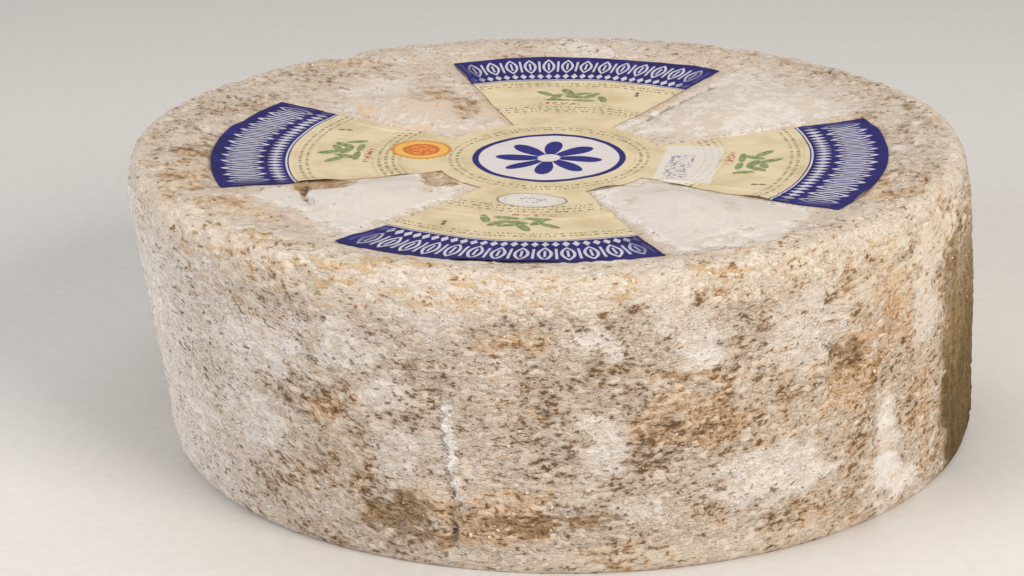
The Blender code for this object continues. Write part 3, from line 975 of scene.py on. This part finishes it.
def strip_seam_and_cracks(tree, under, field, grain, height, broken, lip):
    """The brown streaked strip, partly painted shade and darker to its foot, a brownish line with painted
    shade beside the paper, and the cracks, darkened with painted shade.
    """
    streaked = painted(tree, "#71572a", (("#9b7d44", grain["streaks"], 0.42, 0.58, 1.0),))
    to_foot = weighed(tree, 0.75, (height, -11.0))
    lip_white = weighed(tree, -1.9, (field["ridge"], 1.2), (grain["plates"], 3.2))
    return painted(tree, under, (
        # Painted shade: the streaked strip and its darker foot stand partly for the shade on the side that
        # turns away from the light, partly for a brown stain.
        (streaked, field["brown_and_shade_strip"], 0.0, 1.0, 0.85),
        ("#40301a", field["brown_and_shade_strip"], 0.3, 1.0, to_foot),
        # Painted shade: the thin brownish line beside the paper's edge stands partly for the shade where the
        # paper meets the rind.
        ("#b39a78", field["paper_edge_brown_and_shade"], 0.0, 1.0, 0.16),
        ("#e6e0d9", lip, 1.1, 0.6, lip_white),
        # Painted shade: the dark line along each crack.
        ("#4f3c28", broken, 0.60, 0.0, weighed(tree, 0.0, (field["crack_near"], 0.95))),
    ))


def flake_steps(tree, field, grain, mark, broken, lip):
    """The height of the flakes: low steps with ragged edges, lit above and shaded below."""
    lips = painted(tree, "#000000", (
        ("#ffffff", lip, 1.1, 0.5, field["ridge"]), ("#000000", broken, 0.9, 0.1, field["crack_near"]),
    ))
    steps = painted(tree, "#000000", (
        ("#ffffff", grain["strokes"], 0.460, 0.535, 0.50),
        ("#ffffff", grain["strokes"], 0.560, 0.625, 0.40),
        ("#ffffff", grain["plates"], 0.470, 0.530, 0.28),
        ("#ffffff", grain["plates"], 0.550, 0.600, 0.28),
    ))
    return weighed(tree, 0.0, (steps, 1.0), (grain["specks"], 0.5), (mark, -0.7), (lips, 0.7))


def natural_rind():
    """Dry natural rind: white and grey mould over tan crust, rusty in places, full of pits and flecks."""
    finish, tree, shader = new_material("natural_cheese_rind")
    field = {}
    for name in KEPT_FIELDS:
        field[name] = add(tree, "ShaderNodeAttribute", out="Fac", attribute_name=name)
    place = add(tree, "ShaderNodeTexCoord", out="Object")
    grain, height = rind_grains(tree, place)
    quiet = weighed(tree, 1.0, (field["calm"], -0.75))
    tint, crust = mould_and_crust(tree, field, grain)
    wear, mark = wear_and_marks(tree, field, grain)
    broken, lip = crack_edges(tree, field, grain)
    tint = worn_and_marked(tree, tint, field, grain, crust, wear, mark, quiet)
    tint = strip_seam_and_cracks(tree, tint, field, grain, height, broken, lip)
    steps = flake_steps(tree, field, grain, mark, broken, lip)
    bump = add(
        tree, "ShaderNodeBump", {"Height": steps, "Distance": 0.0009, "Strength": quiet}, out="Normal",
    )
    tree.links.new(tint, shader.inputs["Base Color"])
    tree.links.new(bump, shader.inputs["Normal"])
    shader.inputs["Roughness"].default_value = 0.9
    shader.inputs["Specular IOR Level"].default_value = 0.25
    return finish


def rind_crumb(name, dark, light):
    """Dry crumbs of rind: dull and floury, each with its own tone."""
    finish, tree, shader = new_material(name)
    tone = add(tree, "ShaderNodeAttribute", out="Fac", attribute_name="tone")
    place = add(tree, "ShaderNodeTexCoord", out="Object")
    mottle = add(tree, "ShaderNodeTexNoise", {0: place, "Scale": grain_scale(1.5), "Detail": 2.0})
    share = weighed(tree, 0.0, (tone, 0.8), (mottle, 0.5))
    tree.links.new(painted(tree, dark, ((light, share, 0.1, 1.1, 1.0),)), shader.inputs["Base Color"])
    shader.inputs["Roughness"].default_value = 0.9
    shader.inputs["Specular IOR Level"].default_value = 0.25
    return finish


def oval(tree, flat, x, y, radius, squash=1.0, turn=0.0):
    """The way from an oval's middle to a place in the flat label, and its length: 1 on the edge."""
    away = add(tree, "ShaderNodeVectorMath", {0: flat, 1: (x, y, 0.0)}, operation="SUBTRACT")
    away = add(
        tree, "ShaderNodeVectorRotate",
        {"Vector": away, "Angle": math.radians(-turn)}, rotation_type="Z_AXIS",
    )
    scale = (1.0 / radius, 1.0 / (radius * squash), 0.0)
    away = add(tree, "ShaderNodeVectorMath", {0: away, 1: scale}, operation="MULTIPLY")
    return away, add(tree, "ShaderNodeVectorMath", {0: away}, out="Value", operation="LENGTH")


def stripe(tree, value, low, high):
    """How far a value lies from the middle of two limits: 1 at either."""
    off = weighed(tree, -(high + low) / (high - low), (value, 2.0 / (high - low)))
    return add(tree, "ShaderNodeMath", {0: off}, operation="ABSOLUTE")


def joined(tree, operation, first, *rest):
    """Shapes given by how far a place lies from them, put together by MINIMUM or narrowed by MAXIMUM."""
    for other in rest:
        first = add(tree, "ShaderNodeMath", {0: first, 1: other}, operation=operation)
    return first


def label_places(tree):
    """The flat place on the label, its radius, its turn, and the same in the nearest arm's own frame."""
    flat = add(tree, "ShaderNodeAttribute", out="Vector", attribute_name="label_flat")
    parts = add(tree, "ShaderNodeSeparateXYZ", {0: flat}, out=None)
    radius = add(tree, "ShaderNodeVectorMath", {0: flat}, out="Value", operation="LENGTH")
    turn = add(tree, "ShaderNodeMath", {0: parts["Y"], 1: parts["X"]}, operation="ARCTAN2")
    own = add(tree, "ShaderNodeMath", {0: turn, 1: math.pi / 4, 2: -math.pi / 4}, operation="WRAP")
    cosine = add(tree, "ShaderNodeMath", {0: own}, operation="COSINE")
    sine = add(tree, "ShaderNodeMath", {0: own}, operation="SINE")
    x, y = weighed(tree, 0.0, (radius, cosine)), weighed(tree, 0.0, (radius, sine))
    return flat, radius, turn, own, add(tree, "ShaderNodeCombineXYZ", {"X": x, "Y": y})


def motif_cell(tree, own, radius, pitch, middle, half_height):
    """How far a place lies from the nearest motif of a row: across in pitches, up in half heights."""
    steps = add(tree, "ShaderNodeMath", {0: own, 1: math.radians(pitch)}, operation="DIVIDE")
    across = add(tree, "ShaderNodeMath", {0: steps, 1: 0.5}, operation="PINGPONG")
    return across, stripe(tree, radius, middle - half_height, middle + half_height)


# Rows of the border: pitch in degrees, radius of the middle, half height
LEAF_ROW = (3.9, 0.0903, 0.0056)
LOZENGE_ROW = (1.95, 0.0808, 0.0024)
BORDER_HALF_ARM = 23.6  # degrees
BORDER_LINE = (BAND_INNER_RADIUS + 0.0005, BAND_INNER_RADIUS + 0.0011)


def band_ornament(tree, own, radius):
    """A white border on the blue band: open leaves with a rib, bars between them, a row of lozenges."""
    across, up = motif_cell(tree, own, radius, *LEAF_ROW)
    leaf = weighed(tree, 0.0, (weighed(tree, 0.0, (up, up)), 0.75), (across, 2.9))
    leaf = stripe(tree, leaf, 0.60, 1.0)
    rib = joined(tree, "MAXIMUM", stripe(tree, across, -0.055, 0.055), weighed(tree, 0.0, (up, 1.9)))
    bar = joined(tree, "MAXIMUM", stripe(tree, across, 0.44, 0.56), weighed(tree, 0.0, (up, 1.15)))
    small_across, small_up = motif_cell(tree, own, radius, *LOZENGE_ROW)
    lozenge = weighed(tree, 0.0, (small_across, 2.5), (small_up, 1.0))
    marks = joined(tree, "MINIMUM", leaf, rib, bar, lozenge)
    end = math.radians(BORDER_HALF_ARM)
    marks = joined(tree, "MAXIMUM", marks, stripe(tree, own, -end, end))
    line = stripe(tree, radius, *BORDER_LINE)
    return joined(tree, "MINIMUM", marks, line)


FINE_ROW = 0.0021  # from one row to the next
FINE_ZONES = ((0.0708, 0.0752), (0.0440, 0.0525), (0.0255, 0.0300))  # radii between which rows lie


def fine_rows(tree, turn, radius):
    """Rows of tiny grey strokes round the label, as far as each place is from them: 1 at their edges."""
    steps = add(tree, "ShaderNodeMath", {0: radius, 1: FINE_ROW}, operation="DIVIDE")
    off = add(tree, "ShaderNodeMath", {0: steps, 1: 0.5}, operation="PINGPONG")
    number = add(tree, "ShaderNodeMath", {0: steps}, operation="ROUND")
    along = weighed(tree, 0.0, (weighed(tree, 0.0, (turn, number)), FINE_ROW))
    place = add(tree, "ShaderNodeCombineXYZ", {"X": along, "Y": weighed(tree, 0.0, (number, 0.013))})
    stroke = add(tree, "ShaderNodeTexNoise", {0: place, "Scale": grain_scale(1.3), "Detail": 1.0})
    zones = [stripe(tree, radius, low, high) for low, high in FINE_ZONES]
    marks = joined(tree, "MAXIMUM", weighed(tree, 11.0, (stroke, -20.0)), weighed(tree, 0.0, (off, 4.0)))
    return joined(tree, "MAXIMUM", marks, joined(tree, "MINIMUM", *zones))


# Leaves of the sprig on an arm: x along the arm, y, half length, squash, turn in degrees
SPRIG_LEAVES = (
    (0.0588, -0.0090, 0.0033, 0.42, 20.0), (0.0620, -0.0051, 0.0038, 0.40, -35.0),
    (0.0607, 0.0000, 0.0036, 0.45, 75.0), (0.0652, 0.0026, 0.0041, 0.38, 30.0),
    (0.0601, 0.0058, 0.0036, 0.42, -20.0), (0.0639, -0.0019, 0.0031, 0.42, -70.0),
    (0.0629, 0.0096, 0.0038, 0.36, 55.0), (0.0569, -0.0032, 0.0038, 0.30, 88.0),
    (0.0569, 0.0051, 0.0044, 0.26, 92.0),
)


def paper_flower_and_sprigs(tree, turn, radius, arm, damp, fibre):
    """Damp cream stock, the pale medallion with its blue ring and flower, the fine rows and the sprigs."""
    petals = add(tree, "ShaderNodeMath", {0: turn, 1: 4.0}, operation="MULTIPLY")
    petals = add(tree, "ShaderNodeMath", {0: petals}, operation="COSINE")
    petals = add(tree, "ShaderNodeMath", {0: petals}, operation="ABSOLUTE")
    petals = add(tree, "ShaderNodeMath", {0: petals, 1: 0.7}, operation="POWER")
    flower = weighed(tree, 0.0, (petals, -15.0), (radius, 1000.0))
    leaves = [oval(tree, arm, *row)[1] for row in SPRIG_LEAVES]
    green = painted(tree, "#5a6a40", (("#8f9d68", fibre, 0.35, 0.65, 1.0),))
    _, line = oval(tree, arm, 0.0535, 0.0045, 0.0072, 0.16, 90.0)
    dots = [oval(tree, arm, x, -0.0195, 0.0011, 0.6)[1] for x in (0.0632, 0.0655)]
    return painted(tree, "#c6b48c", (
        ("#dac9a6", damp, 0.30, 0.62, 1.0),
        ("#d3cbc8", radius, 0.0227, 0.0223, 1.0),
        ("#1f1f67", stripe(tree, radius, 0.0208, 0.0228), 1.1, 0.8, 1.0),
        ("#252571", flower, 1.2, 0.6, 1.0),
        ("#d3cbc8", radius, 0.0036, 0.0032, 1.0),
        ("#6f664f", fine_rows(tree, turn, radius), 1.2, 0.6, 0.85),
        (green, joined(tree, "MINIMUM", *leaves), 1.12, 0.88, 0.9),
        ("#a8603c", joined(tree, "MAXIMUM", line, weighed(tree, 7.0, (fibre, -11.5))), 1.1, 0.9, 1.0),
        ("#4a4638", joined(tree, "MINIMUM", *dots), 1.2, 0.8, 0.85),
    ))


def seal_oval_and_slip(tree, under, flat, fibre):
    """An orange seal on one arm, a pale oval on another, a pale slip with violet strokes on a third."""
    away, seal = oval(tree, flat, -0.0388, 0.0041, 0.0092, 0.96)
    parts = add(tree, "ShaderNodeSeparateXYZ", {0: away}, out=None)
    around = add(tree, "ShaderNodeMath", {0: parts["Y"], 1: parts["X"]}, operation="ARCTAN2")
    teeth = add(tree, "ShaderNodeMath", {0: weighed(tree, 0.0, (around, 28.0))}, operation="COSINE")
    rosette = joined(tree, "MAXIMUM", weighed(tree, 0.0, (seal, 2.0)), weighed(tree, 6.0, (fibre, -10.0)))

    _, stamp = oval(tree, flat, 0.0011, -0.0400, 0.0098, 0.62)
    rows = add(tree, "ShaderNodeMath", {0: stamp, 1: 0.30}, operation="PINGPONG")
    scrawl = joined(
        tree, "MAXIMUM", weighed(tree, 0.2, (stamp, 1.0)), weighed(tree, 7.0, (fibre, -11.0)),
        weighed(tree, 1.8, (rows, -5.0)),
    )

    away, _ = oval(tree, flat, 0.0420, -0.0022, 0.0085, 2.1)
    parts = add(tree, "ShaderNodeSeparateXYZ", {0: away}, out=None)
    slip = joined(
        tree, "MAXIMUM", stripe(tree, parts["X"], -1.0, 1.0), stripe(tree, parts["Y"], -1.0, 1.0),
    )
    violet = joined(
        tree, "MAXIMUM", stripe(tree, parts["X"], -0.75, 0.1), stripe(tree, parts["Y"], -0.75, 0.5),
        weighed(tree, 7.0, (fibre, -11.0)),
    )
    return painted(tree, under, (
        ("#c8873a", weighed(tree, 0.0, (seal, 1.0), (teeth, 0.03)), 1.03, 0.97, 1.0),
        ("#e0ae58", seal, 0.90, 0.86, 1.0), ("#c1662b", seal, 0.63, 0.58, 1.0),
        ("#dd8a47", rosette, 1.1, 0.9, 1.0),
        ("#8b8678", stamp, 1.06, 1.02, 1.0), ("#d5cec4", stamp, 0.99, 0.94, 1.0),
        ("#55504c", scrawl, 1.1, 0.9, 0.7),
        ("#d8d3cd", slip, 1.04, 0.98, 0.75), ("#6a5f92", violet, 1.1, 0.9, 0.8),
    ))


def coated_label_paper():
    """Thin coated paper, offset printed: a faint gloss, damp cream stock, flat inks a little worn."""
    finish, tree, shader = new_material("printed_coated_paper")
    flat, radius, turn, own, arm = label_places(tree)
    damp = add(
        tree, "ShaderNodeTexNoise", {0: flat, "Scale": grain_scale(16.0), "Detail": 4.0, "Roughness": 0.6},
    )
    # Paper fibres are a tenth of a millimetre wide, too fine to show, so they are drawn at 1.2 mm
    fibre = add(tree, "ShaderNodeTexNoise", {0: flat, "Scale": grain_scale(1.2), "Detail": 3.0})
    tint = paper_flower_and_sprigs(tree, turn, radius, arm, damp, fibre)
    tint = seal_oval_and_slip(tree, tint, flat, fibre)
    blue = painted(tree, "#161150", (("#231e6c", damp, 0.3, 0.7, 1.0),))
    tint = painted(tree, tint, (
        (blue, radius, BAND_INNER_RADIUS, BAND_INNER_RADIUS + 0.0002, 1.0),
        ("#cdcad2", band_ornament(tree, own, radius), 1.12, 0.88, 0.90),
    ))
    bump = add(tree, "ShaderNodeBump", {"Height": fibre, "Distance": 0.00012, "Strength": 0.5}, out="Normal")
    tree.links.new(tint, shader.inputs["Base Color"])
    tree.links.new(bump, shader.inputs["Normal"])
    tree.links.new(weighed(tree, 0.75, (damp, -0.4)), shader.inputs["Roughness"])
    shader.inputs["IOR"].default_value = 1.5
    shader.inputs["Specular IOR Level"].default_value = 0.3
    return finish


def studio_floor():
    """Pale matt board, pressed from pulp: dull, with a grain too fine to show, so drawn at 4 mm."""
    finish, tree, shader = new_material("pale_matt_board")
    place = add(tree, "ShaderNodeTexCoord", out="Object")
    grain = add(tree, "ShaderNodeTexNoise", {0: place, "Scale": grain_scale(4.0), "Detail": 2.0})
    tint = painted(tree, "#d8d4ce", (("#dcd8d3", grain, 0.3, 0.7, 1.0),))
    tree.links.new(tint, shader.inputs["Base Color"])
    shader.inputs["Roughness"].default_value = 0.7
    return finish


# ------------------------------------------------------------------ camera, light and floor
CAMERA_FOCUS = 2500.0  # pixels of the photograph
PHOTO_WIDTH = 1024.0
CAMERA_TILT = 19.153  # degrees down
CAMERA_DISTANCE = 0.7603
CAMERA_AIM = (0.0, 0.0, 0.04295)
CAMERA_ROLL = -0.972
AIM_RIGHT = 42.17  # pixels by which the aim lies right of the middle of the picture
AIM_UP = -15.25


def make_camera():
    """The camera that took the photograph, from the sizes above."""
    lens = bpy.data.cameras.new("camera")
    lens.sensor_width = 36.0
    lens.lens = CAMERA_FOCUS / PHOTO_WIDTH * lens.sensor_width
    lens.clip_start = 0.01
    lens.clip_end = 20.0
    tilt, roll = math.radians(CAMERA_TILT), math.radians(CAMERA_ROLL)
    ahead = Vector((0.0, math.cos(tilt), -math.sin(tilt)))
    place = Vector(CAMERA_AIM) - ahead * CAMERA_DISTANCE
    up = Vector((0.0, math.sin(tilt), math.cos(tilt)))
    ahead = ahead - Vector((1.0, 0.0, 0.0)) * AIM_RIGHT / CAMERA_FOCUS + up * AIM_UP / CAMERA_FOCUS
    ahead.normalize()
    right = ahead.cross(Vector((0.0, 0.0, 1.0))).normalized()
    up = right.cross(ahead)
    right, up = right * math.cos(roll) + up * math.sin(roll), up * math.cos(roll) - right * math.sin(roll)
    camera = bpy.data.objects.new("camera", lens)
    camera.matrix_world = Matrix.Translation(place) @ Matrix((right, up, -ahead)).transposed().to_4x4()
    bpy.context.scene.collection.objects.link(camera)
    bpy.context.scene.camera = camera


def make_light(name, place, size, power, tint, aim=(0.0, 0.0, 0.05)):
    """A lit panel at a place, with its width and height, turned to the wheel."""
    lamp = bpy.data.lights.new(name, "AREA")
    lamp.shape = "RECTANGLE"
    lamp.size, lamp.size_y = size
    lamp.energy = power
    lamp.color = colour(tint)[:3]
    light = bpy.data.objects.new(name, lamp)
    light.location = place
    light.rotation_euler = (Vector(aim) - Vector(place)).to_track_quat("-Z", "Y").to_euler()
    bpy.context.scene.collection.objects.link(light)


def make_studio():
    """A key light at the right front, one overhead, a softer one on the left, and the floor."""
    make_light("soft_key", (0.88, -0.98, 0.80), (0.7, 0.6), 19.8, "#fffaf4")
    make_light("overhead", (0.0, 0.25, 1.2), (1.2, 1.2), 7.0, "#ffffff")
    make_light("left_fill", (-1.20, -0.65, 0.50), (0.7, 0.7), 12.8, "#f6f8ff")
    world = bpy.data.worlds.new("studio")
    world.use_nodes = True
    world.node_tree.nodes["Background"].inputs["Color"].default_value = colour("#f3f1ee")
    world.node_tree.nodes["Background"].inputs["Strength"].default_value = 0.22
    bpy.context.scene.world = world
    mesh = bpy.data.meshes.new("floor")
    mesh.from_pydata([(-3, -3, 0), (3, -3, 0), (3, 3, 0), (-3, 3, 0)], [], [(0, 1, 2, 3)])
    placed("floor", mesh, studio_floor())


# ------------------------------------------------------------------ the whole
bpy.context.scene.view_settings.view_transform = "Standard"
make_camera()
make_studio()

rind = make_rind(natural_rind())
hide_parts("cheese_wheel")
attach(rind, "root")

label = make_label(coated_label_paper())
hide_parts("paper_label")
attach(label, "root")

strewing = crumb_tree()
# Name, finish, most per square metre, smallest and largest size, flatness, seed
CRUMBS = (
    ("fine_crumbs", rind_crumb("floury_rind_crumb", "#ab9579", "#cfc2b1"), 60000.0, 0.0005, 0.0011, 0.35, 3),
    ("rim_flakes", rind_crumb("dry_rind_flake", "#bfa784", "#e2d4bf"), 12000.0, 0.0009, 0.0018, 0.25, 8),
)
for name, finish, most, smallest, largest, flatness, seed in CRUMBS:
    inputs = {
        "Most per square metre": most, "Smallest": smallest, "Largest": largest,
        "Flatness": flatness, "Seed": seed,
    }
    crumbs = strew_crumbs(name, rind, strewing, finish, inputs)
    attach(crumbs, "root")
